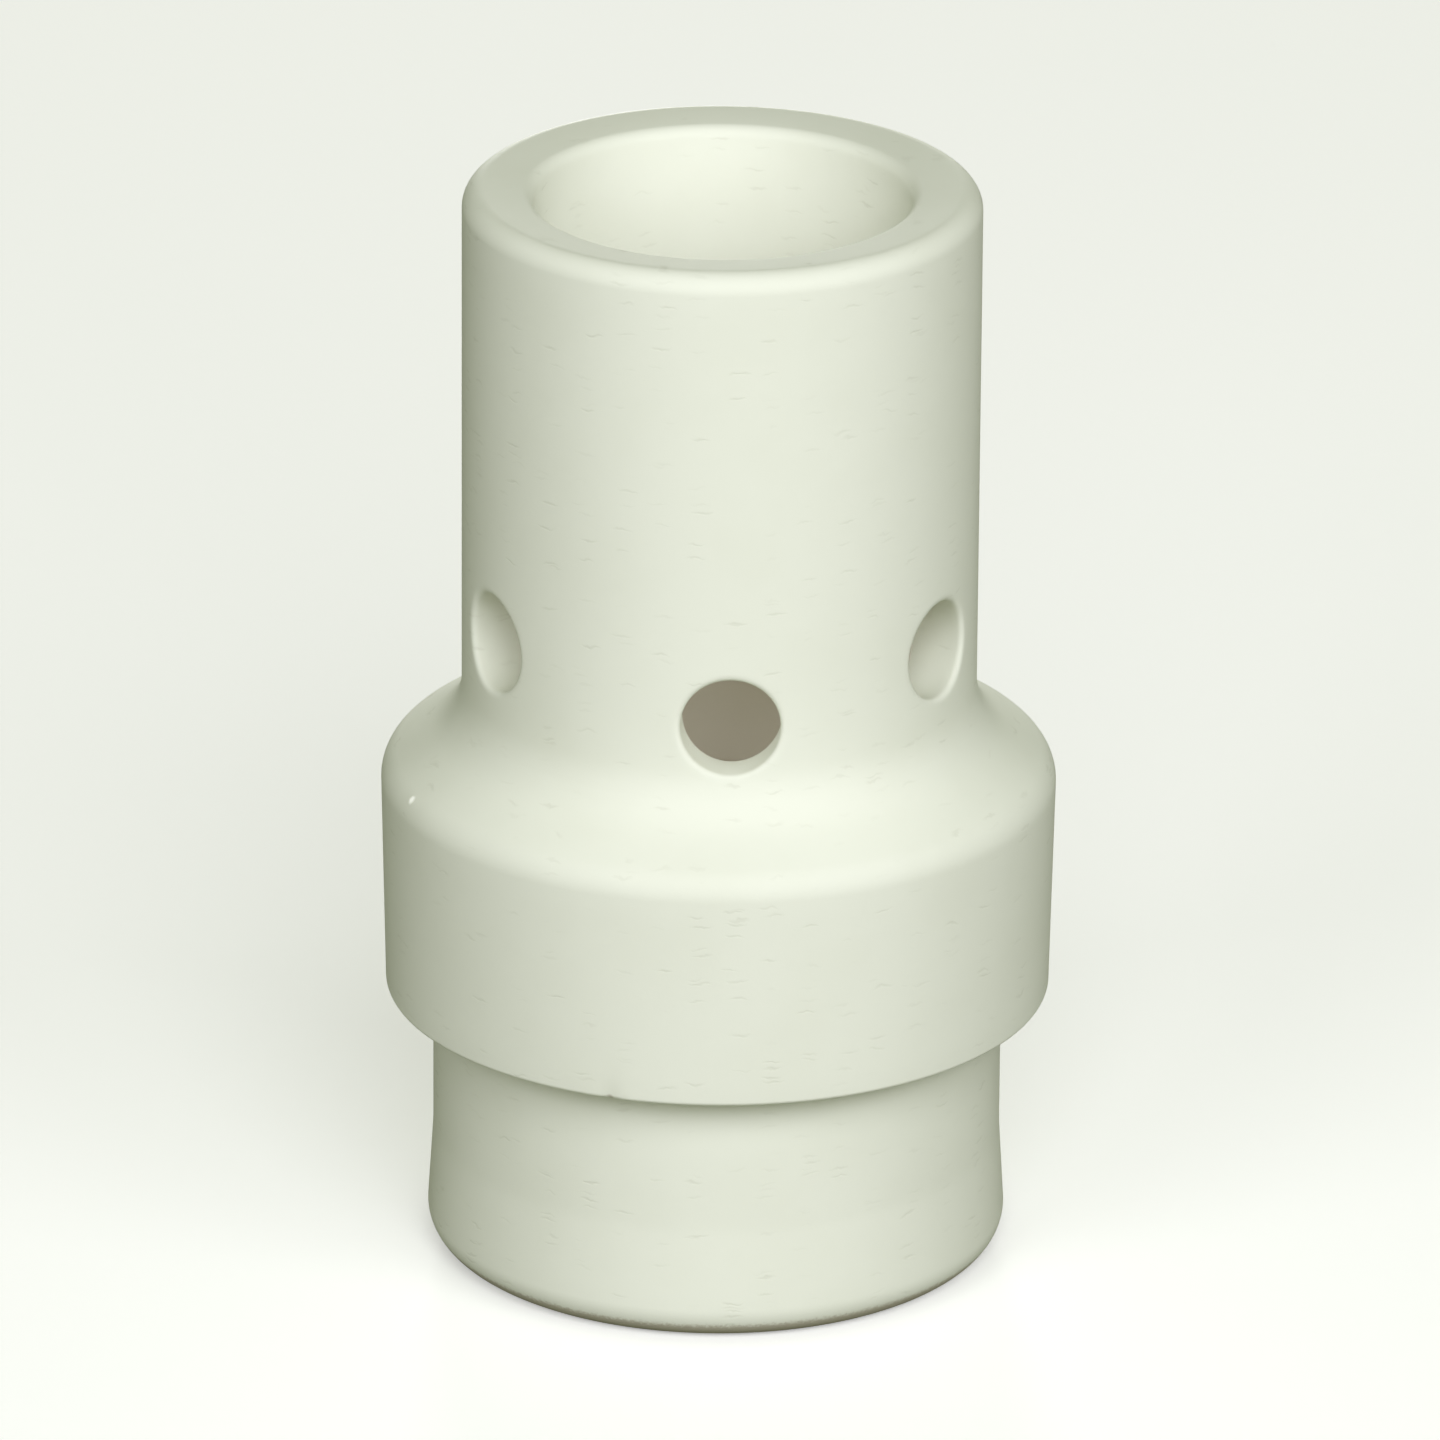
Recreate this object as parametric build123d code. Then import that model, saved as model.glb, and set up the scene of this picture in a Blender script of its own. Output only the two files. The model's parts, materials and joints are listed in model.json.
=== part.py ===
"""Gas diffuser of a MIG/MAG welding torch: one ceramic sleeve with six slanted gas holes.

Millimetres. +Z runs along the bore, from the end that sits on the torch neck to the end at the
contact tip. The origin is the centre of the bottom face, and a hole of the low row faces -Y.
"""

from build123d import *

import math
import os

# Bore
tip_bore_radius = 4.95
tip_mouth_flare = 0.50  # how much wider the bore is at its mouth
tip_mouth_depth = 5.00
tip_mouth_rounding = 0.40
chamber_relief = 0.80  # how much wider than the tip bore the wall is behind the gas holes
chamber_end_slope = 0.60  # height of the cone from the chamber to the tip bore
neck_seat_width = 0.65  # the step that the torch neck's end meets
neck_socket_depth = 12.50
neck_socket_lead_in = 0.30

# Outside, from the neck end up
spigot_wall = 1.90
spigot_length = 8.00
foot_flare = 0.22  # how far the foot widens by the bottom face
foot_height = 3.50
foot_rounding = 1.00
foot_blend = 6.00
collar_overhang = 1.52  # past the spigot
collar_height = 6.90
collar_draft = 0.14  # how much narrower the collar is at its lower edge
collar_upper_rounding = 1.00
collar_lower_rounding = 0.15
shoulder_height = 1.50
shoulder_fillet = 2.00
sleeve_wall = 2.52
sleeve_length = 16.10
sleeve_end_rounding = 0.60
rim_fall = 0.20  # how far the top rim falls from the outside to the bore

# Gas holes: a low row and a high row, each spaced evenly round the sleeve
gas_hole_radius = 1.45
gas_hole_slope = 8.0  # degrees, outer end towards the tip
gas_hole_skew = 4.5  # degrees off the radial line, which turns the gas a little
holes_per_row = 3
low_row_rise = 2.40  # from the shoulder's top corner to a hole's centre on the outside
row_offset = 1.05  # how much higher the high row is
high_row_turn = 56.0  # degrees round from the low row
chamber_above_holes = 0.50

# Worked out from the sizes above
chamber_radius = tip_bore_radius + chamber_relief
neck_socket_radius = chamber_radius + neck_seat_width
socket_mouth_radius = neck_socket_radius + neck_socket_lead_in
spigot_radius = neck_socket_radius + spigot_wall
foot_radius = spigot_radius + foot_flare
collar_radius = spigot_radius + collar_overhang
sleeve_radius = tip_bore_radius + sleeve_wall
collar_top = spigot_length + collar_height
shoulder_top = collar_top + shoulder_height
total_length = shoulder_top + sleeve_length
low_row_height = shoulder_top + low_row_rise
high_row_height = low_row_height + row_offset
chamber_top = high_row_height + gas_hole_radius + chamber_above_holes
tip_mouth_radius = tip_bore_radius + tip_mouth_flare
rim_slope = math.atan(rim_fall / (sleeve_wall - tip_mouth_flare))
rim_corner_lift = sleeve_end_rounding * (math.tan(rim_slope) + 1 / math.cos(rim_slope) - 1)
rim_corner_height = total_length + rim_corner_lift  # so that the rounded rim's crest is at the total length


def outer_outline():
    """Corners (radius, height, rounding) of the outside, from the bottom face to the top rim."""
    return [
        (foot_radius, 0, foot_rounding),
        (spigot_radius, foot_height, foot_blend),
        (spigot_radius, spigot_length, 0),
        (collar_radius - collar_draft, spigot_length, collar_lower_rounding),
        (collar_radius, collar_top, collar_upper_rounding),
        (sleeve_radius, shoulder_top, shoulder_fillet),
        (sleeve_radius, rim_corner_height, sleeve_end_rounding),
    ]


def inner_outline():
    """Corners of the stepped bore, from the top rim down to the bottom face."""
    return [
        (tip_mouth_radius, rim_corner_height - rim_fall, tip_mouth_rounding),
        (tip_bore_radius, total_length - tip_mouth_depth, 0),
        (tip_bore_radius, chamber_top + chamber_end_slope, 0),
        (chamber_radius, chamber_top, 0),
        (chamber_radius, neck_socket_depth, 0),
        (neck_socket_radius, neck_socket_depth, 0),
        (neck_socket_radius, neck_socket_lead_in, 0),
        (socket_mouth_radius, 0, 0),
    ]


def turned_body():
    """The wall's half section, turned once round the axis."""
    corners = outer_outline() + inner_outline()
    points = [(radius, 0, height) for radius, height, _ in corners]
    roundings = [rounding for _, _, rounding in corners]
    outline = FilletPolyline(*points, radius=roundings, close=True)
    section = make_face(outline.edges())
    return revolve(section, Axis.Z, 360)


def gas_drill(height, turn):
    """A drill from inside the bore out through the sleeve, centred at this height on the outside."""
    slope, skew = math.radians(gas_hole_slope), math.radians(gas_hole_skew)
    level = math.cos(slope)
    outward = Vector(-math.sin(skew) * level, -math.cos(skew) * level, math.sin(slope))
    start = Vector(0, -sleeve_radius, height) - outward * sleeve_radius
    reach = sleeve_radius + gas_hole_radius
    drill = Solid.make_cylinder(gas_hole_radius, reach, Plane(start, z_dir=outward))
    return drill.rotate(Axis.Z, turn)


def gas_drills():
    """The drills of both rows."""
    drills = []
    for index in range(holes_per_row):
        turn = index * 360 / holes_per_row
        drills.append(gas_drill(low_row_height, turn))
        drills.append(gas_drill(high_row_height, turn + high_row_turn))
    return drills


def gas_diffuser():
    """The finished piece."""
    body = turned_body() - gas_drills()
    body.label = "gas_diffuser"
    return body


os.makedirs("parts", exist_ok=True)
diffuser = gas_diffuser()
export_step(diffuser, "parts/gas_diffuser.step")
print(f"gas_diffuser: length {total_length:.2f} mm, volume {diffuser.volume:.1f} mm3")
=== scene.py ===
import json
import math

import bpy
import numpy as np
from mathutils import Matrix, Vector


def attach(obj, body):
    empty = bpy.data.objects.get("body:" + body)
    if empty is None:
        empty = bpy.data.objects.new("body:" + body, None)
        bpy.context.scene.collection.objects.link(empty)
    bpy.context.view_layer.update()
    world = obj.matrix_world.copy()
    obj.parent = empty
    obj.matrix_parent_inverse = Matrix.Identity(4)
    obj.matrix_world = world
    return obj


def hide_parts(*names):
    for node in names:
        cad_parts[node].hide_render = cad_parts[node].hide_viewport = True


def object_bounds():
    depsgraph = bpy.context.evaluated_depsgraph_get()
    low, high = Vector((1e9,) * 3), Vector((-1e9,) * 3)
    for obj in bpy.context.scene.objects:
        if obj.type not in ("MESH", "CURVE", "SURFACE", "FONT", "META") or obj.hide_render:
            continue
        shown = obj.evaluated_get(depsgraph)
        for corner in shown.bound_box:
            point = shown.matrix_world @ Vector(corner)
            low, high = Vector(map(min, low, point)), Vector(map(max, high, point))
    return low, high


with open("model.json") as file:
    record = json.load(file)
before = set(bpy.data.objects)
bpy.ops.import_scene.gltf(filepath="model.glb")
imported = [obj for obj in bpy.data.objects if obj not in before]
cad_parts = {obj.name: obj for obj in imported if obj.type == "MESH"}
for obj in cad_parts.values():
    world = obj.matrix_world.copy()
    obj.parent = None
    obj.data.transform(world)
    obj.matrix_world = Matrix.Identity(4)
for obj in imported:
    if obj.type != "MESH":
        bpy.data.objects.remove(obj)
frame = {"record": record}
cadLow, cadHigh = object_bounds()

mm = 0.001
tiny = 0.001 * mm
white, black = (1, 1, 1, 1), (0, 0, 0, 1)
mounts = {mount["name"]: mount for mount in frame["record"]["mounts"]}
print("frame loaded")


# Small helpers for node trees

def addNode(tree, kind, **settings):
    node = tree.nodes.new(kind)
    for name, value in settings.items():
        setattr(node, name, value)
    return node


def feed(tree, value, socket):  # a socket is linked, anything else is typed in
    if isinstance(value, bpy.types.NodeSocket):
        tree.links.new(value, socket)
    else:
        socket.default_value = value


def calc(tree, operation, *values):
    node = addNode(tree, "ShaderNodeMath", operation=operation)
    for value, socket in zip(values, node.inputs):
        feed(tree, value, socket)
    return node.outputs[0]


def pointPlace(tree, position):  # x, y, z and the distance from the axis
    place = addNode(tree, "ShaderNodeSeparateXYZ")
    tree.links.new(position, place.inputs[0])
    x, y, z = place.outputs
    squares = calc(tree, "ADD", calc(tree, "MULTIPLY", x, x), calc(tree, "MULTIPLY", y, y))
    return x, y, z, calc(tree, "SQRT", squares)


def newGroup(name, kind, inputs, outputs):
    group = bpy.data.node_groups.new(name, kind)
    for label, socketType, value in inputs:
        socket = group.interface.new_socket(label, in_out="INPUT", socket_type=socketType)
        if value is not None:
            socket.default_value = value
    for label, socketType in outputs:
        group.interface.new_socket(label, in_out="OUTPUT", socket_type=socketType)
    return group, group.nodes.new("NodeGroupInput").outputs, group.nodes.new("NodeGroupOutput").inputs


def setInputs(modifier, values):  # by each socket's identifier
    for item in modifier.node_group.interface.items_tree:
        if item.item_type == "SOCKET" and item.in_out == "INPUT" and item.name in values:
            modifier[item.identifier] = values[item.name]


def placeNodes(tree):  # columns by how far a node is from the output, so the tree can be read
    depth = {node.name: 0 for node in tree.nodes}
    for _ in tree.nodes:
        for link in tree.links:
            further = depth[link.to_node.name] + 1
            depth[link.from_node.name] = max(depth[link.from_node.name], further)
    rows = {}
    for node in tree.nodes:
        column = depth[node.name]
        rows[column] = rows.get(column, 0) + 1
        node.location = (-220 * column, -190 * rows[column])


# Sleeve wall

body = {
    "footRadius": 8.52 * mm,
    "footRounding": 1.00 * mm,
    "footHeight": 3.50 * mm,
    "footBlend": 6.00 * mm,
    "spigotRadius": 8.30 * mm,
    "spigotTop": 8.00 * mm,
    "collarLowRadius": 9.68 * mm,
    "collarLowRounding": 0.15 * mm,
    "collarRadius": 9.82 * mm,
    "collarTop": 14.90 * mm,
    "collarRounding": 1.00 * mm,
    "sleeveRadius": 7.47 * mm,
    "shoulderTop": 16.40 * mm,
    "shoulderFillet": 2.00 * mm,
    "endRounding": 0.60 * mm,
    "height": cadHigh.z - cadLow.z,
    "tipBore": mounts["tip_bore"]["dims"]["r_mm"] * mm,
    "mouthRadius": 5.45 * mm,
    "mouthDepth": 5.00 * mm,
    "mouthRounding": 0.40 * mm,
    "rimFall": 0.20 * mm,
    "chamberRadius": 5.75 * mm,
    "chamberTop": 21.80 * mm,
    "chamberSlope": 0.60 * mm,
    "neckSocket": mounts["neck_socket"]["dims"]["r_mm"] * mm,
    "socketDepth": 12.50 * mm,
    "leadIn": 0.30 * mm,
    "segments": 270,
    "arcStep": math.radians(7),
    "fineArcStep": math.radians(1),  # for the curve that the holes are fitted to
    "longestRun": 0.70 * mm,
    "runSlack": 0.007 * mm,
    "weld": 0.002 * mm,
    "finishMargin": 0.12 * mm,  # the inner finish reaches this far past the chamber's wall
    "seatMargin": 0.01 * mm,
    "sharpAngle": math.radians(32),
}

gasHole = {
    "radius": 1.43 * mm,
    "slope": math.radians(8),  # outer end towards the tip
    "skew": math.radians(4.5),  # off the radial line
    "perRow": 3,
    "lowHeight": 18.80 * mm,  # centre of a low hole on the outside
    "rowStep": 1.05 * mm,  # how much higher the high row is
    "highTurn": math.radians(56),
    "outerLip": 0.22 * mm,
    "innerLip": 0.06 * mm,
    "levelGap": 0.15 * mm,  # heights of the wall's points round the holes
    "levelSlack": 0.06 * mm,
    "levelsEachWay": 14,
    "segmentsEachWay": 14,
    "surfaceRings": 7,
    "lipRings": 5,
    "wallRings": 6,
    "meetingSteps": 12,
}

nickAndShade = {  # a dent in the collar's lower edge, with painted shade in it
    "turn": math.radians(-20.9),
    "radius": 9.66 * mm,
    "height": 8.05 * mm,
    "size": 0.20 * mm,
    "depth": 0.07 * mm,
    "toneReach": 0.15 * mm,
}

grainWithGlint = {  # fired onto the collar's upper edge; it also gives off a painted glint
    "turn": math.radians(-69.75),
    "radius": 9.58 * mm,
    "height": 15.00 * mm,
    "size": 0.13 * mm,
    "depth": -0.035 * mm,
    "toneReach": 0.18 * mm,
}


def bodyCorners():  # (radius, height, rounding) round the wall's half section
    b = body
    slopeEnd = b["chamberTop"] + b["chamberSlope"]
    rimSlope = math.atan(b["rimFall"] / (b["sleeveRadius"] - b["mouthRadius"]))
    rimCorner = b["height"] + b["endRounding"] * (math.tan(rimSlope) + 1 / math.cos(rimSlope) - 1)
    return [
        (b["footRadius"], 0, b["footRounding"]),
        (b["spigotRadius"], b["footHeight"], b["footBlend"]),
        (b["spigotRadius"], b["spigotTop"], 0),
        (b["collarLowRadius"], b["spigotTop"], b["collarLowRounding"]),
        (b["collarRadius"], b["collarTop"], b["collarRounding"]),
        (b["sleeveRadius"], b["shoulderTop"], b["shoulderFillet"]),
        (b["sleeveRadius"], rimCorner, b["endRounding"]),
        (b["mouthRadius"], rimCorner - b["rimFall"], b["mouthRounding"]),
        (b["tipBore"], b["height"] - b["mouthDepth"], 0),
        (b["tipBore"], slopeEnd, 0),
        (b["chamberRadius"], b["chamberTop"], 0),
        (b["chamberRadius"], b["socketDepth"], 0),
        (b["neckSocket"], b["socketDepth"], 0),
        (b["neckSocket"], b["leadIn"], 0),
        (b["neckSocket"] + b["leadIn"], 0, 0),
    ]


def roundedOutline(corners, arcStep):  # a closed line, with an arc at each corner that has a rounding
    points = []
    for index, (radius, height, rounding) in enumerate(corners):
        corner = Vector((radius, height))
        back = (Vector(corners[index - 1][:2]) - corner).normalized()
        onward = (Vector(corners[(index + 1) % len(corners)][:2]) - corner).normalized()
        if not rounding:
            points.append(corner)
            continue
        turn = math.pi - back.angle(onward)
        centre = corner + (back + onward).normalized() * rounding / math.cos(turn / 2)
        spoke = corner + back * rounding * math.tan(turn / 2) - centre
        side = 1 if back.cross(onward) < 0 else -1
        steps = max(3, math.ceil(turn / arcStep))
        for step in range(steps + 1):
            points.append(centre + Matrix.Rotation(side * turn * step / steps, 2) @ spoke)
    return np.array(points)


def dividedOutline(points, longest):  # long runs get more points
    divided = []
    for start, end in zip(points, np.roll(points, -1, 0)):
        run = np.linalg.norm(end - start) - body["runSlack"]
        pieces = max(1, math.ceil(run / longest))
        divided += [start + (end - start) * piece / pieces for piece in range(pieces)]
    return np.array(divided)


fineOutline = roundedOutline(bodyCorners(), body["fineArcStep"])
besideSleeve = fineOutline[:, 0] > body["sleeveRadius"] - tiny
onSleeve = besideSleeve & (fineOutline[:, 1] > body["collarTop"])


def wallRadius(heights):  # of the sleeve's outside, down to the collar
    return np.interp(heights, fineOutline[onSleeve, 1], fineOutline[onSleeve, 0])


def chamberRadius(heights):
    return np.full(np.shape(heights), body["chamberRadius"])


holeDrop = (body["sleeveRadius"] - body["chamberRadius"]) * math.tan(gasHole["slope"])
highHeight = gasHole["lowHeight"] + gasHole["rowStep"]
levelsUp = gasHole["levelsEachWay"] + round(gasHole["rowStep"] / gasHole["levelGap"])
levelNumbers = np.arange(-gasHole["levelsEachWay"], levelsUp + 1)
holeLevels = gasHole["lowHeight"] + gasHole["levelGap"] * levelNumbers


def withLevels(points):  # the wall's points beside the holes are swapped for evenly spaced ones
    b = body
    slack = gasHole["levelSlack"]
    insideLevels = holeLevels[::-1] - holeDrop
    outside = np.stack([wallRadius(holeLevels), holeLevels], 1)
    inside = np.stack([chamberRadius(insideLevels), insideLevels], 1)
    kept = []
    for levels in (outside, inside):
        low, high = min(levels[:, 1]), max(levels[:, 1])
        near = (points[:, 1] > low - slack) & (points[:, 1] < high + slack)
        near &= abs(points[:, 0] - levels[:, 0].mean()) < b["leadIn"]
        first = int(np.argmax(near))
        kept.append((near, first, levels))
    result = []
    for index, point in enumerate(points):
        for near, first, levels in kept:
            if index == first:
                result += list(levels)
        if not any(near[index] for near, _, _ in kept):
            result.append(point)
    return np.array(result)


def polylineObject(name, points):
    mesh = bpy.data.meshes.new(name)
    places = [(0, -radius, height) for radius, height in points]
    mesh.from_pydata(places, [(i, i + 1) for i in range(len(points) - 1)], [])
    outline = bpy.data.objects.new(name, mesh)
    bpy.context.scene.collection.objects.link(outline)
    return outline


# Gas holes: one lining for each row, from the skin outside, over a rounded lip and through the wall

def holeLining(name, height):
    g = gasHole
    flat = math.cos(g["slope"])
    outward = np.array([-math.sin(g["skew"]) * flat, -math.cos(g["skew"]) * flat, math.sin(g["slope"])])
    sideways = np.array([math.cos(g["skew"]), -math.sin(g["skew"]), 0])
    upward = np.cross(outward, sideways)
    centre = np.array([0, -body["sleeveRadius"], height])
    segmentTurn = 2 * math.pi / body["segments"]

    across, upright = g["segmentsEachWay"], g["levelsEachWay"]
    rightSide = [(across, row) for row in range(-upright, upright)]
    topSide = [(column, upright) for column in range(across, -across, -1)]
    rim = np.array(rightSide + topSide + [(-x, -y) for x, y in rightSide + topSide])
    rimTurns, rimHeights = rim[:, 0] * segmentTurn, height + rim[:, 1] * g["levelGap"]
    angles = np.arctan2(rimHeights - height, rimTurns * body["sleeveRadius"])
    spokes = np.outer(np.cos(angles), sideways) + np.outer(np.sin(angles), upward)

    def along(wall, radius):  # how far along the hole's axis a circle of this radius meets a wall
        reach = np.zeros(len(angles))
        for _ in range(g["meetingSteps"]):
            places = centre + radius * spokes + reach[:, None] * outward
            fromAxis = np.hypot(places[:, 0], places[:, 1])
            lean = places[:, :2] @ outward[:2] / fromAxis
            reach += (wall(places[:, 2]) - fromAxis) / lean
        return reach[:, None]

    def onWall(wall, radius):
        return centre + radius * spokes + along(wall, radius) * outward

    def onSkin(wall, turns, heights):
        radii = wall(heights)
        return np.stack([radii * np.sin(turns), -radii * np.cos(turns), heights], 1)

    def skinRings(wall, edge, drop):  # from the window in the wall to the lip
        edgeTurns = np.arctan2(edge[:, 0], -edge[:, 1])
        for share in np.linspace(0, 1, g["surfaceRings"], endpoint=False):
            turns = rimTurns + (edgeTurns - rimTurns) * share
            heights = (rimHeights - drop) + (edge[:, 2] - rimHeights + drop) * share
            yield onSkin(wall, turns, heights)

    def lipRings(start, corner, end):  # a curve that leaves the skin and joins the hole's wall smoothly
        for share in np.linspace(0, 1, g["lipRings"] + 1):
            yield start * (1 - share) ** 2 + 2 * corner * share * (1 - share) + end * share**2

    outerCorner, innerCorner = onWall(wallRadius, g["radius"]), onWall(chamberRadius, g["radius"])
    outerEdge = onWall(wallRadius, g["radius"] + g["outerLip"])
    innerEdge = onWall(chamberRadius, g["radius"] + g["innerLip"])
    mouth = outerCorner - g["outerLip"] * outward
    exitEdge = innerCorner + g["innerLip"] * outward
    rings = list(skinRings(wallRadius, outerEdge, 0)) + list(lipRings(outerEdge, outerCorner, mouth))
    for share in np.linspace(0, 1, g["wallRings"] + 1)[1:-1]:
        rings.append(mouth + (exitEdge - mouth) * share)
    rings += list(lipRings(exitEdge, innerCorner, innerEdge))
    rings += list(skinRings(chamberRadius, innerEdge, holeDrop))[::-1]

    count = len(angles)
    faces = []
    for ring in range(len(rings) - 1):
        for k in range(count):
            here, onward = ring * count + k, ring * count + (k + 1) % count
            faces.append((here, onward, onward + count, here + count))
    mesh = bpy.data.meshes.new(name)
    mesh.from_pydata([tuple(place) for place in np.concatenate(rings)], [], faces)
    lining = bpy.data.objects.new(name, mesh)
    bpy.context.scene.collection.objects.link(lining)
    return lining


# The turned body: the outline is carried once round the axis, windows are opened where the holes
# come, and each row's lining is set into its windows

def windowSelection(tree, turn, radius, height, rowTurn, rowHeight, sizes):
    perHole = calc(tree, "DIVIDE", 2 * math.pi, sizes["Holes per Row"])
    half = calc(tree, "MULTIPLY", perHole, 0.5)
    fromRow = calc(tree, "SUBTRACT", turn, rowTurn)
    away = calc(tree, "WRAP", fromRow, half, calc(tree, "MULTIPLY", half, -1))
    beside = calc(tree, "LESS_THAN", calc(tree, "ABSOLUTE", away), sizes["Window Half Turn"])
    inwards = calc(tree, "SUBTRACT", sizes["Sleeve Radius"], radius)
    drop = calc(tree, "MULTIPLY", inwards, calc(tree, "TANGENT", sizes["Hole Slope"]))
    middle = calc(tree, "SUBTRACT", rowHeight, drop)
    above = calc(tree, "ABSOLUTE", calc(tree, "SUBTRACT", height, middle))
    level = calc(tree, "LESS_THAN", above, sizes["Window Half Height"])
    return calc(tree, "MULTIPLY", beside, level)


def turnedWall(tree, outline, segments):
    total = addNode(tree, "GeometryNodeAttributeDomainSize", component="MESH")
    tree.links.new(outline, total.inputs[0])
    count = total.outputs["Point Count"]
    across = calc(tree, "ADD", segments, 1)
    grid = addNode(tree, "GeometryNodeMeshGrid")
    tree.links.new(calc(tree, "ADD", count, 1), grid.inputs["Vertices X"])
    tree.links.new(across, grid.inputs["Vertices Y"])

    index = addNode(tree, "GeometryNodeInputIndex").outputs[0]
    column = calc(tree, "FLOOR", calc(tree, "DIVIDE", calc(tree, "ADD", index, 0.5), across))
    row = calc(tree, "SUBTRACT", index, calc(tree, "MULTIPLY", column, across))
    place = addNode(tree, "GeometryNodeInputPosition").outputs[0]
    sample = addNode(tree, "GeometryNodeSampleIndex", data_type="FLOAT_VECTOR", domain="POINT")
    tree.links.new(outline, sample.inputs["Geometry"])
    tree.links.new(place, sample.inputs["Value"])
    tree.links.new(calc(tree, "MODULO", column, count), sample.inputs["Index"])

    step = calc(tree, "DIVIDE", -2 * math.pi, segments)
    turned = addNode(tree, "ShaderNodeVectorRotate", rotation_type="Z_AXIS")
    tree.links.new(sample.outputs["Value"], turned.inputs["Vector"])
    tree.links.new(calc(tree, "MULTIPLY", row, step), turned.inputs["Angle"])
    wall = addNode(tree, "GeometryNodeSetPosition")
    tree.links.new(grid.outputs["Mesh"], wall.inputs["Geometry"])
    tree.links.new(turned.outputs[0], wall.inputs["Position"])
    return wall.outputs[0]


def openWindows(tree, wall, sizes):
    position = addNode(tree, "GeometryNodeInputPosition").outputs[0]
    x, y, height, radius = pointPlace(tree, position)
    turn = calc(tree, "ARCTAN2", x, calc(tree, "MULTIPLY", y, -1))
    high = calc(tree, "ADD", sizes["Low Row Height"], sizes["Row Step"])
    low = windowSelection(tree, turn, radius, height, 0, sizes["Low Row Height"], sizes)
    upper = windowSelection(tree, turn, radius, height, sizes["High Row Turn"], high, sizes)
    opened = addNode(tree, "GeometryNodeDeleteGeometry", domain="FACE")
    tree.links.new(wall, opened.inputs["Geometry"])
    tree.links.new(calc(tree, "MAXIMUM", low, upper), opened.inputs["Selection"])
    return opened.outputs[0]


def holeRow(tree, lining, perRow, rowTurn):
    piece = addNode(tree, "GeometryNodeObjectInfo", transform_space="ORIGINAL")
    tree.links.new(lining, piece.inputs["Object"])
    spots = addNode(tree, "GeometryNodeMeshLine")
    spots.inputs["Offset"].default_value = (0, 0, 0)  # every copy turns about the axis
    tree.links.new(perRow, spots.inputs["Count"])
    index = addNode(tree, "GeometryNodeInputIndex").outputs[0]
    spacing = calc(tree, "DIVIDE", 2 * math.pi, perRow)
    turn = calc(tree, "ADD", calc(tree, "MULTIPLY", index, spacing), rowTurn)
    rotation = addNode(tree, "ShaderNodeCombineXYZ")
    tree.links.new(turn, rotation.inputs["Z"])
    copies = addNode(tree, "GeometryNodeInstanceOnPoints")
    tree.links.new(spots.outputs[0], copies.inputs["Points"])
    tree.links.new(piece.outputs["Geometry"], copies.inputs["Instance"])
    tree.links.new(rotation.outputs[0], copies.inputs["Rotation"])
    return copies.outputs[0]


def deepFaces(tree, sizes):  # the chamber and the neck socket, as a face selection
    position = addNode(tree, "GeometryNodeInputPosition").outputs[0]
    _, _, height, radius = pointPlace(tree, position)
    inChamber = calc(tree, "LESS_THAN", radius, sizes["Chamber Reach"])
    inSocket = calc(tree, "LESS_THAN", height, sizes["Seat Height"])
    nearSocket = calc(tree, "LESS_THAN", radius, sizes["Socket Reach"])
    inside = calc(tree, "MAXIMUM", inChamber, calc(tree, "MULTIPLY", inSocket, nearSocket))
    return calc(tree, "MULTIPLY", inside, calc(tree, "LESS_THAN", height, sizes["Shade Top"]))


def turnedBodyTree():
    length, whole, angle = "NodeSocketFloat", "NodeSocketInt", "NodeSocketFloat"
    inputs = [
        ("Outline", "NodeSocketGeometry", None),
        ("Segments", whole, 64),
        ("Low Row Lining", "NodeSocketObject", None),
        ("High Row Lining", "NodeSocketObject", None),
        ("Holes per Row", whole, 3),
        ("Hole Slope", angle, 0.0),
        ("High Row Turn", angle, 1.0),
        ("Low Row Height", length, 0.01),
        ("Row Step", length, 0.0),
        ("Sleeve Radius", length, 0.01),
        ("Window Half Turn", angle, 0.1),
        ("Window Half Height", length, 0.001),
        ("Weld", length, 1e-6),
        ("Chamber Reach", length, 0.001),
        ("Socket Reach", length, 0.001),
        ("Seat Height", length, 0.001),
        ("Shade Top", length, 0.001),
        ("Outer Finish", "NodeSocketMaterial", None),
        ("Inner Finish", "NodeSocketMaterial", None),
    ]
    outputs = [("Body", "NodeSocketGeometry")]
    tree, sizes, result = newGroup("turnedBody", "GeometryNodeTree", inputs, outputs)
    wall = turnedWall(tree, sizes["Outline"], sizes["Segments"])
    opened = openWindows(tree, wall, sizes)
    lowRow = holeRow(tree, sizes["Low Row Lining"], sizes["Holes per Row"], 0)
    highRow = holeRow(tree, sizes["High Row Lining"], sizes["Holes per Row"], sizes["High Row Turn"])
    joined = addNode(tree, "GeometryNodeJoinGeometry")
    for part in (highRow, lowRow, opened):
        tree.links.new(part, joined.inputs[0])
    real = addNode(tree, "GeometryNodeRealizeInstances")
    tree.links.new(joined.outputs[0], real.inputs[0])
    welded = addNode(tree, "GeometryNodeMergeByDistance")
    tree.links.new(real.outputs[0], welded.inputs["Geometry"])
    tree.links.new(sizes["Weld"], welded.inputs["Distance"])
    outer = addNode(tree, "GeometryNodeSetMaterial")
    tree.links.new(welded.outputs[0], outer.inputs["Geometry"])
    tree.links.new(sizes["Outer Finish"], outer.inputs["Material"])
    inner = addNode(tree, "GeometryNodeSetMaterial")
    tree.links.new(outer.outputs[0], inner.inputs["Geometry"])
    tree.links.new(deepFaces(tree, sizes), inner.inputs["Selection"])
    tree.links.new(sizes["Inner Finish"], inner.inputs["Material"])
    tree.links.new(inner.outputs[0], result["Body"])
    placeNodes(tree)
    return tree


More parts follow.
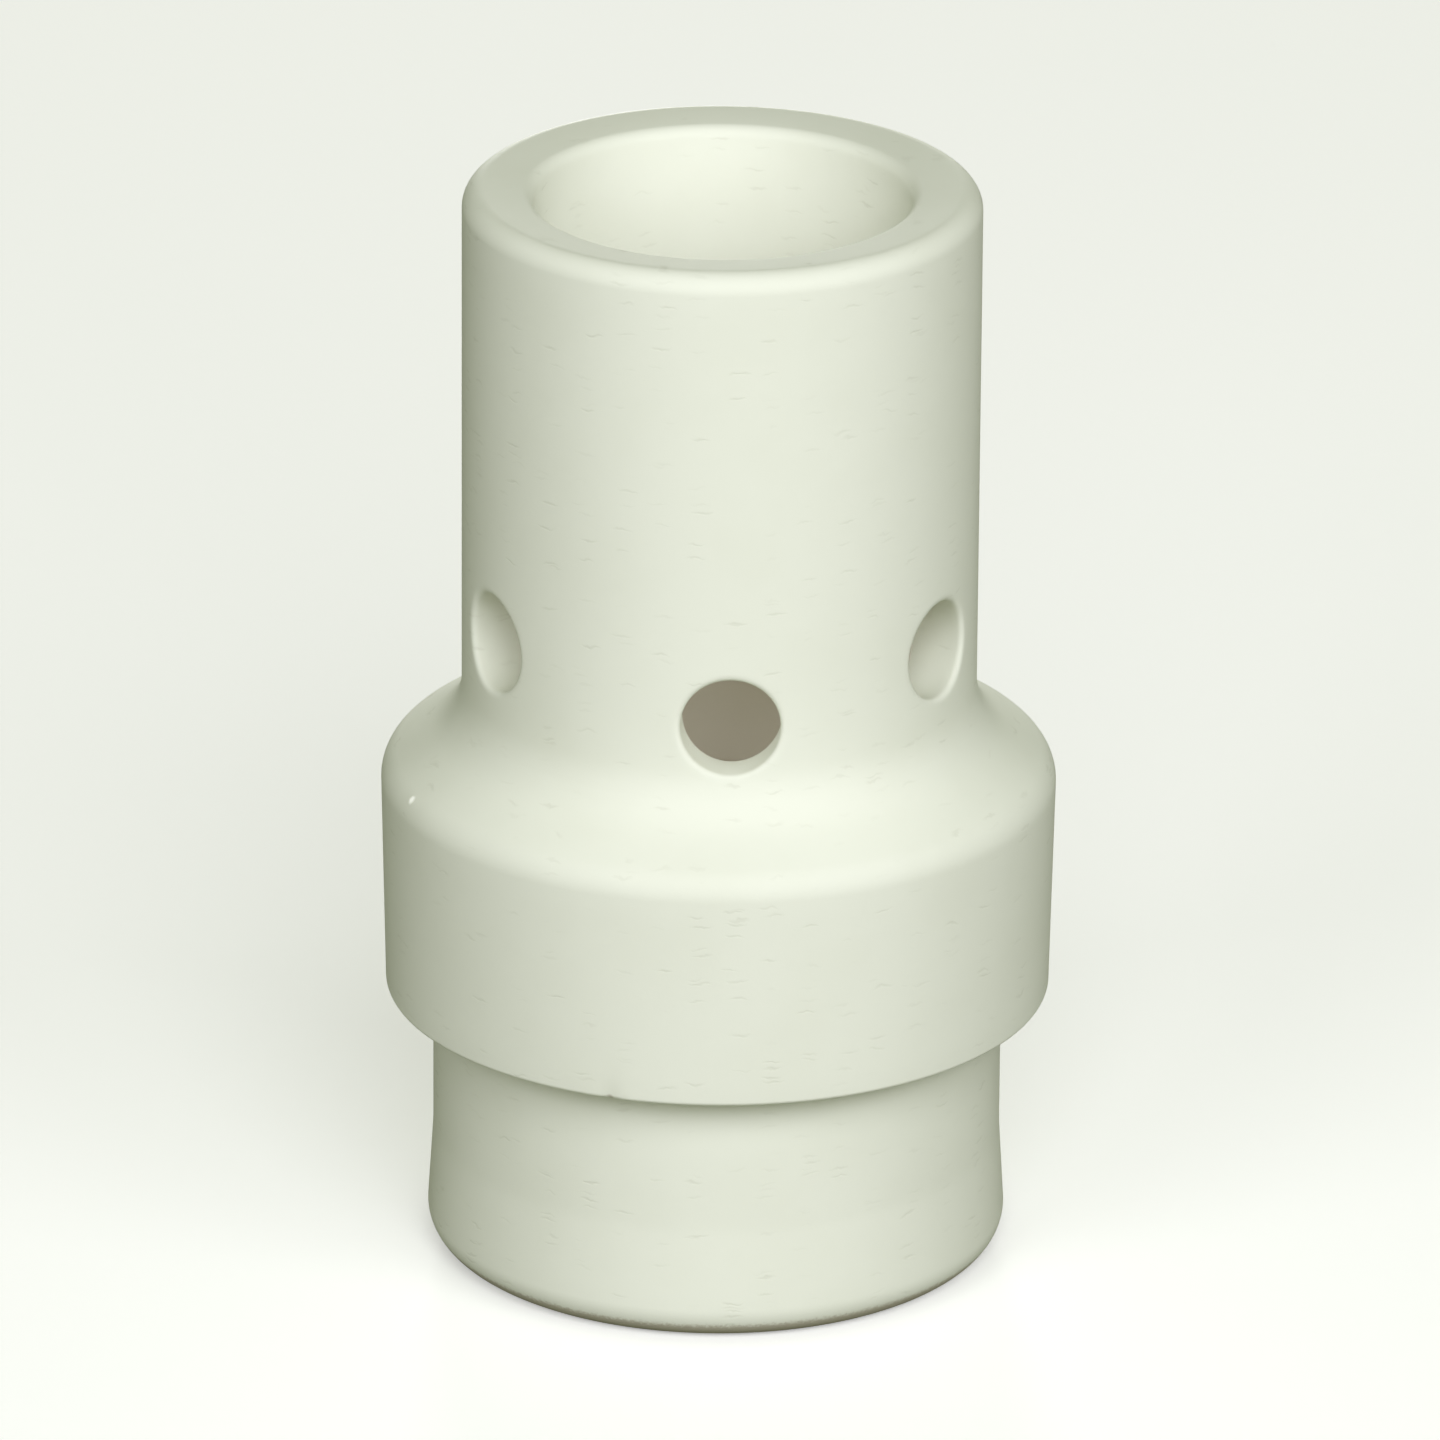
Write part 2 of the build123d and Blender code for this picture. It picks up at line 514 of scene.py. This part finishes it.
def applied(source, name):  # the evaluated object as a plain mesh at the origin
    graph = bpy.context.evaluated_depsgraph_get()
    mesh = bpy.data.meshes.new_from_object(source.evaluated_get(graph), depsgraph=graph)
    bpy.data.objects.remove(source)
    while None in mesh.materials[:]:
        mesh.materials.pop(index=mesh.materials[:].index(None))
    piece = bpy.data.objects.new(name, mesh)
    bpy.context.scene.collection.objects.link(piece)
    return piece


def markPlace(mark):
    radius, turn = mark["radius"], mark["turn"]
    return math.sin(turn) * radius, -math.cos(turn) * radius, mark["height"]


def addWear(mesh):
    places = np.empty(len(mesh.vertices) * 3)
    mesh.vertices.foreach_get("co", places)
    places = places.reshape(-1, 3)
    for mark in (nickAndShade, grainWithGlint):
        outward = np.array([math.sin(mark["turn"]), -math.cos(mark["turn"]), 0])
        distance = np.linalg.norm(places - markPlace(mark), axis=1)
        push = mark["depth"] * np.exp(-((distance / mark["size"]) ** 2))
        places -= push[:, None] * outward
    mesh.vertices.foreach_set("co", places.ravel())


def makeSleeve(outerFinish, innerFinish):
    corners = roundedOutline(bodyCorners(), body["arcStep"])
    outline = polylineObject("outline", withLevels(dividedOutline(corners, body["longestRun"])))
    lowLining = holeLining("lowRowLining", gasHole["lowHeight"])
    highLining = holeLining("highRowLining", highHeight)
    modifier = outline.modifiers.new("turnedBody", "NODES")
    modifier.node_group = turnedBodyTree()
    setInputs(modifier, {
        "Segments": body["segments"],
        "Low Row Lining": lowLining,
        "High Row Lining": highLining,
        "Holes per Row": gasHole["perRow"],
        "Hole Slope": gasHole["slope"],
        "High Row Turn": gasHole["highTurn"],
        "Low Row Height": gasHole["lowHeight"],
        "Row Step": gasHole["rowStep"],
        "Sleeve Radius": body["sleeveRadius"],
        "Window Half Turn": gasHole["segmentsEachWay"] * 2 * math.pi / body["segments"],
        "Window Half Height": gasHole["levelsEachWay"] * gasHole["levelGap"],
        "Weld": body["weld"],
        "Chamber Reach": body["chamberRadius"] + body["finishMargin"],
        "Socket Reach": body["neckSocket"] + body["leadIn"],
        "Seat Height": body["socketDepth"] + body["seatMargin"],
        "Shade Top": shade["top"],
        "Outer Finish": outerFinish,
        "Inner Finish": innerFinish,
    })
    sleeve = applied(outline, "ceramic_sleeve")
    for lining in (lowLining, highLining):
        bpy.data.objects.remove(lining)
    addWear(sleeve.data)
    sleeve.data.shade_smooth()
    sleeve.data.set_sharp_from_angle(angle=body["sharpAngle"])
    evener = sleeve.modifiers.new("evenShading", "WEIGHTED_NORMAL")
    evener.keep_sharp = True
    return applied(sleeve, "ceramic_sleeve")


# Finishes

tone = {
    "white": (0.915, 0.930, 0.836, 1),
    "dark": (0.898, 0.913, 0.815, 1),  # what the slow mottling leans to
    "fleck": (0.60, 0.60, 0.50, 1),
    # the grain's own whiter colour, also the colour of its painted glint
    "grainWithGlint": (0.95, 0.96, 0.90, 1),
    # painted shade: a darker, warmer tone deep in the bore
    "paintedDeepShade": (0.930, 0.905, 0.840, 1),
    # painted shade in the nick's dent
    "nickAndShade": (0.60, 0.58, 0.50, 1),
    "edge": (0.58, 0.54, 0.45, 1),  # painted contact shade, along the bottom
    "paintedGlow": (1.0, 0.89, 0.70, 1),  # painted glow: the chamber's wall gives off light, in place of light that comes through the thin wall
}

finish = {
    "roughness": 0.58,
    "roughnessSpread": 0.16,
    "fleckRoughness": 0.12,
    "specular": 0.15,
    # strength of the painted glow in the chamber
    "paintedGlow": 0.045,
    "paintedGlint": 0.30,  # painted glint: the grain gives off light
    "bumpHeight": 0.006 * mm,
    "bumpStrength": 0.8,
    "grainRelief": 0.25,
    "cloudSize": 3.2,  # in mm, as the other sizes of the pattern are
    "grainSize": 0.11,
    "cloudDetail": 3.0,
    "grainDetail": 4.0,
    "cloudEdges": (0.38, 0.72),
    "edgeWander": 0.25 * mm,
    "markCore": 0.3,
}

fleck = {
    "length": 1.05,
    "flatness": 7.0,
    "share": 0.24,  # of the cells that have one
    "wobble": 0.35,
    "bendScale": 2.2,
    "core": 0.10,
    "reach": 0.38,
    "faintest": 0.3,
    "depth": 0.22,  # how far it takes the colour
}

shade = {  # heights between which one tone turns into another, for painted shade
    "top": 25.0 * mm,  # bore tone above, painted deep shade below
    "full": 20.5 * mm,
    "aboveFootShade": 0.76 * mm,  # outside above, painted contact shade along the bottom below
    "footShadeFull": 0.54 * mm,
}


def useGroup(tree, group, vector, **values):
    node = addNode(tree, "ShaderNodeGroup", node_tree=group)
    tree.links.new(vector, node.inputs["Vector"])
    for name, value in values.items():
        node.inputs[name.replace("_", " ")].default_value = value
    return node.outputs


def mixColour(tree, share, first, second):
    node = addNode(tree, "ShaderNodeMix", data_type="RGBA")
    feed(tree, share, node.inputs[0])
    feed(tree, first, node.inputs[6])
    feed(tree, second, node.inputs[7])
    return node.outputs[2]


def ramp(tree, value, low, high):  # 0 at low, 1 at high, eased
    node = addNode(tree, "ShaderNodeMapRange", interpolation_type="SMOOTHSTEP")
    tree.links.new(value, node.inputs["Value"])
    node.inputs["From Min"].default_value = low
    node.inputs["From Max"].default_value = high
    return node.outputs[0]


def mottleGroup():  # slow clouds with a fine grain on top
    group, inputs, outputs = newGroup(
        "mottle", "ShaderNodeTree",
        [("Vector", "NodeSocketVector", None),
         ("Cloud Size", "NodeSocketFloat", finish["cloudSize"]),
         ("Grain Size", "NodeSocketFloat", finish["grainSize"])],
        [("Clouds", "NodeSocketFloat"), ("Grain", "NodeSocketFloat")],
    )
    layers = [
        ("Cloud Size", finish["cloudDetail"], "Clouds"),
        ("Grain Size", finish["grainDetail"], "Grain"),
    ]
    for size, detail, output in layers:
        noise = addNode(group, "ShaderNodeTexNoise", noise_dimensions="3D")
        group.links.new(inputs["Vector"], noise.inputs["Vector"])
        group.links.new(calc(group, "DIVIDE", 1, inputs[size]), noise.inputs["Scale"])
        noise.inputs["Detail"].default_value = detail
        group.links.new(noise.outputs[0], outputs[output])
    placeNodes(group)
    return group


def fleckGroup():  # short level dashes, wide and thin, in a random share of the cells
    group, inputs, outputs = newGroup(
        "flecks", "ShaderNodeTree",
        [("Vector", "NodeSocketVector", None),
         ("Length", "NodeSocketFloat", fleck["length"]),
         ("Flatness", "NodeSocketFloat", fleck["flatness"]),
         ("Share", "NodeSocketFloat", fleck["share"]),
         ("Wobble", "NodeSocketFloat", fleck["wobble"])],
        [("Mask", "NodeSocketFloat")],
    )
    bend = addNode(group, "ShaderNodeTexNoise", noise_dimensions="3D")
    group.links.new(inputs["Vector"], bend.inputs["Vector"])
    bend.inputs["Scale"].default_value = fleck["bendScale"]
    centred = addNode(group, "ShaderNodeVectorMath", operation="SUBTRACT")
    group.links.new(bend.outputs["Color"], centred.inputs[0])
    centred.inputs[1].default_value = (0.5, 0.5, 0.5)
    scaled = addNode(group, "ShaderNodeVectorMath", operation="SCALE")
    group.links.new(centred.outputs[0], scaled.inputs[0])
    group.links.new(inputs["Wobble"], scaled.inputs["Scale"])
    moved = addNode(group, "ShaderNodeVectorMath", operation="ADD")
    group.links.new(inputs["Vector"], moved.inputs[0])
    group.links.new(scaled.outputs[0], moved.inputs[1])
    stretch = addNode(group, "ShaderNodeCombineXYZ")
    wide = calc(group, "DIVIDE", 1, inputs["Length"])
    for axis in ("X", "Y"):
        group.links.new(wide, stretch.inputs[axis])
    group.links.new(calc(group, "MULTIPLY", wide, inputs["Flatness"]), stretch.inputs["Z"])
    cells = addNode(group, "ShaderNodeVectorMath", operation="MULTIPLY")
    group.links.new(moved.outputs[0], cells.inputs[0])
    group.links.new(stretch.outputs[0], cells.inputs[1])
    spots = addNode(group, "ShaderNodeTexVoronoi", voronoi_dimensions="3D", feature="F1")
    group.links.new(cells.outputs[0], spots.inputs["Vector"])
    spots.inputs["Scale"].default_value = 1.0
    outside = ramp(group, spots.outputs["Distance"], fleck["core"], fleck["reach"])
    inside = calc(group, "SUBTRACT", 1, outside)
    chance = addNode(group, "ShaderNodeSeparateColor")
    group.links.new(spots.outputs["Color"], chance.inputs[0])
    chosen = calc(group, "LESS_THAN", chance.outputs[0], inputs["Share"])
    faint = calc(group, "MULTIPLY_ADD", chance.outputs[1], 1 - fleck["faintest"], fleck["faintest"])
    strength = calc(group, "MULTIPLY", chosen, faint)
    group.links.new(calc(group, "MULTIPLY", inside, strength), outputs["Mask"])
    placeNodes(group)
    return group


def nearMark(tree, metres, mark):  # 1 at the middle of a mark, 0 at its reach
    distance = addNode(tree, "ShaderNodeVectorMath", operation="DISTANCE")
    tree.links.new(metres, distance.inputs[0])
    distance.inputs[1].default_value = markPlace(mark)
    full, reach = finish["markCore"] * mark["toneReach"], mark["toneReach"]
    return calc(tree, "SUBTRACT", 1, ramp(tree, distance.outputs["Value"], full, reach))


def ceramic(name, mottle, flecks, paintedDeepShade):
    material = bpy.data.materials.new(name)
    material.use_nodes = True
    tree = material.node_tree
    shader = tree.nodes["Principled BSDF"]
    shader.inputs["Specular IOR Level"].default_value = finish["specular"]
    metres = addNode(tree, "ShaderNodeTexCoord").outputs["Object"]
    inMm = addNode(tree, "ShaderNodeMapping", vector_type="POINT")
    inMm.inputs["Scale"].default_value = (1 / mm,) * 3
    tree.links.new(metres, inMm.inputs["Vector"])
    mottling = useGroup(tree, mottle, inMm.outputs[0])
    marks = useGroup(tree, flecks, inMm.outputs[0])["Mask"]
    patches = ramp(tree, mottling["Clouds"], *finish["cloudEdges"])
    colour = mixColour(tree, patches, tone["white"], tone["dark"])
    colour = mixColour(tree, calc(tree, "MULTIPLY", marks, fleck["depth"]), colour, tone["fleck"])
    _, _, height, _ = pointPlace(tree, metres)
    if paintedDeepShade:
        # painted shade: the bore turns darker and warmer deeper down
        shallow = ramp(tree, height, shade["full"], shade["top"])
        colour = mixColour(tree, shallow, tone["paintedDeepShade"], colour)
        # painted glow: the deep chamber gives off warm light
        light, strength = mixColour(tree, shallow, tone["paintedGlow"], black), finish["paintedGlow"]
    else:
        # painted shade darkens the nick
        colour = mixColour(tree, nearMark(tree, metres, nickAndShade), colour, tone["nickAndShade"])
        onGrainWithGlint = nearMark(tree, metres, grainWithGlint)
        colour = mixColour(tree, onGrainWithGlint, colour, tone["grainWithGlint"])
        # painted contact shade: a darker, warmer band along the bottom edge, with a wandering top
        wandering = calc(tree, "MULTIPLY_ADD", mottling["Grain"], finish["edgeWander"], height)
        aboveFootShade = ramp(tree, wandering, shade["footShadeFull"], shade["aboveFootShade"])
        colour = mixColour(tree, aboveFootShade, tone["edge"], colour)
        # painted glint: the grain gives off light of its own
        light, strength = mixColour(tree, onGrainWithGlint, black, tone["grainWithGlint"]), finish["paintedGlint"]
    tree.links.new(colour, shader.inputs["Base Color"])
    tree.links.new(light, shader.inputs["Emission Color"])
    shader.inputs["Emission Strength"].default_value = strength
    rough = calc(tree, "MULTIPLY_ADD", mottling["Grain"], finish["roughnessSpread"], finish["roughness"])
    rough = calc(tree, "MULTIPLY_ADD", marks, finish["fleckRoughness"], rough)
    tree.links.new(rough, shader.inputs["Roughness"])
    raised = calc(tree, "MULTIPLY", mottling["Grain"], finish["grainRelief"])
    bump = addNode(tree, "ShaderNodeBump")
    bump.inputs["Distance"].default_value = finish["bumpHeight"]
    bump.inputs["Strength"].default_value = finish["bumpStrength"]
    tree.links.new(calc(tree, "SUBTRACT", raised, marks), bump.inputs["Height"])
    tree.links.new(bump.outputs[0], shader.inputs["Normal"])
    placeNodes(tree)
    return material


mottle, flecks = mottleGroup(), fleckGroup()
outerFinish = ceramic("firedCeramic", mottle, flecks, paintedDeepShade=False)
innerFinish = ceramic("boreCeramic", mottle, flecks, paintedDeepShade=True)
print("finishes made")

sleeve = makeSleeve(outerFinish, innerFinish)
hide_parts("gas_diffuser")
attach(sleeve, "root")
print(f"sleeve made: {len(sleeve.data.vertices)} points, {len(sleeve.data.polygons)} faces")


# Studio

softbox = {"distance": 0.5, "size": 0.3, "colour": (0.955, 0.950, 1.0)}

studio = {
    "floorHalf": 3.0,
    "floorTone": (0.90, 0.90, 0.89, 1),  # as the camera sees it
    "floorClouds": (0.92, 0.92, 0.91, 1),
    "floorCloudSize": 0.25,
    "floorGrainSize": 0.002,
    "floorRoughness": 0.9,
    "floorSpecular": 0.1,
    "floorGlow": 0.36,
    "bounceTone": (0.23, 0.245, 0.16, 1),  # what it throws back at the object
    "roomTone": (0.80, 1.0, 0.15, 1),
    "roomLight": 0.10,
    "backdrop": 1.0,
    "lamps": [  # degrees round from the front and up; metres; watts
        {**softbox, "name": "key", "azimuth": 6, "elevation": 36, "power": 1.33,
         "colour": (0.955, 0.960, 1.0)},
        {**softbox, "name": "leftSoftbox", "azimuth": -40, "elevation": 24, "power": 0.72},
        {**softbox, "name": "rightSoftbox", "azimuth": 45, "elevation": 24, "power": 0.75},
        {**softbox, "name": "backSoftbox", "azimuth": 180, "elevation": 2.5, "power": 1.5,
         "size": 0.08, "colour": (1, 1, 1)},
    ],
}

shot = {
    "lens": 372.8,
    "sensor": 36.0,
    "distance": 433.0 * mm,
    "azimuth": math.radians(-2.43),
    "elevation": math.radians(21.95),
    "roll": math.radians(0.40),
    "aim": (0.03 * mm, 0, 16.063 * mm),
    "clip": (0.01, 20),
}


def direction(azimuth, elevation):  # from the object; azimuth 0 is towards -Y, and grows towards +X
    flat = math.cos(elevation)
    return Vector((math.sin(azimuth) * flat, -math.cos(azimuth) * flat, math.sin(elevation)))


def showToCamera(tree, seen, lighting, output):  # the camera gets one shader, every other ray the other
    either = addNode(tree, "ShaderNodeMixShader")
    tree.links.new(addNode(tree, "ShaderNodeLightPath").outputs["Is Camera Ray"], either.inputs[0])
    tree.links.new(lighting.outputs[0], either.inputs[1])
    tree.links.new(seen.outputs[0], either.inputs[2])
    tree.links.new(either.outputs[0], output.inputs["Surface"])
    placeNodes(tree)


def addFloor():
    half = studio["floorHalf"]
    corners = [(-half, -half, 0), (half, -half, 0), (half, half, 0), (-half, half, 0)]
    mesh = bpy.data.meshes.new("floor")
    mesh.from_pydata(corners, [], [(0, 1, 2, 3)])
    floor = bpy.data.objects.new("floor", mesh)
    bpy.context.scene.collection.objects.link(floor)
    floor.location.z = cadLow.z
    material = bpy.data.materials.new("paleFloor")
    material.use_nodes = True
    tree = material.node_tree
    seen = tree.nodes["Principled BSDF"]
    seen.inputs["Roughness"].default_value = studio["floorRoughness"]
    seen.inputs["Specular IOR Level"].default_value = studio["floorSpecular"]
    metres = addNode(tree, "ShaderNodeTexCoord").outputs["Object"]
    mottling = useGroup(
        tree, mottle, metres, Cloud_Size=studio["floorCloudSize"], Grain_Size=studio["floorGrainSize"])
    colour = mixColour(tree, mottling["Clouds"], studio["floorTone"], studio["floorClouds"])
    tree.links.new(colour, seen.inputs["Base Color"])
    seen.inputs["Emission Color"].default_value = white
    seen.inputs["Emission Strength"].default_value = studio["floorGlow"]
    bounced = addNode(tree, "ShaderNodeBsdfDiffuse")
    bounced.inputs["Color"].default_value = studio["bounceTone"]
    showToCamera(tree, seen, bounced, tree.nodes["Material Output"])
    mesh.materials.append(material)


def addWorld():  # a dim room lights the object, and the camera sees a white backdrop past the floor
    world = bpy.data.worlds.new("softRoom")
    world.use_nodes = True
    tree = world.node_tree
    room = tree.nodes["Background"]
    room.inputs["Color"].default_value = studio["roomTone"]
    room.inputs["Strength"].default_value = studio["roomLight"]
    backdrop = addNode(tree, "ShaderNodeBackground")
    backdrop.inputs["Color"].default_value = white
    backdrop.inputs["Strength"].default_value = studio["backdrop"]
    showToCamera(tree, backdrop, room, tree.nodes["World Output"])
    bpy.context.scene.world = world


def addLamp(lamp):
    data = bpy.data.lights.new(lamp["name"], "AREA")
    data.shape = "DISK"
    data.size = lamp["size"]
    data.energy = lamp["power"]
    data.color = lamp["colour"]
    holder = bpy.data.objects.new(lamp["name"], data)
    holder.visible_camera = False
    bpy.context.scene.collection.objects.link(holder)
    away = direction(math.radians(lamp["azimuth"]), math.radians(lamp["elevation"]))
    holder.location = Vector(shot["aim"]) + away * lamp["distance"]
    holder.rotation_euler = away.to_track_quat("Z", "Y").to_euler()


def addCamera():
    data = bpy.data.cameras.new("camera")
    data.lens, data.sensor_width = shot["lens"], shot["sensor"]
    data.clip_start, data.clip_end = shot["clip"]
    camera = bpy.data.objects.new("camera", data)
    bpy.context.scene.collection.objects.link(camera)
    away = direction(shot["azimuth"], shot["elevation"])
    camera.location = Vector(shot["aim"]) + away * shot["distance"]
    facing = away.to_track_quat("Z", "Y").to_matrix()
    camera.rotation_euler = (facing @ Matrix.Rotation(shot["roll"], 3, "Z")).to_euler()
    bpy.context.scene.camera = camera


addFloor()
addWorld()
for lamp in studio["lamps"]:
    addLamp(lamp)
addCamera()
bpy.context.scene.view_settings.view_transform = "Standard"
print("studio set")
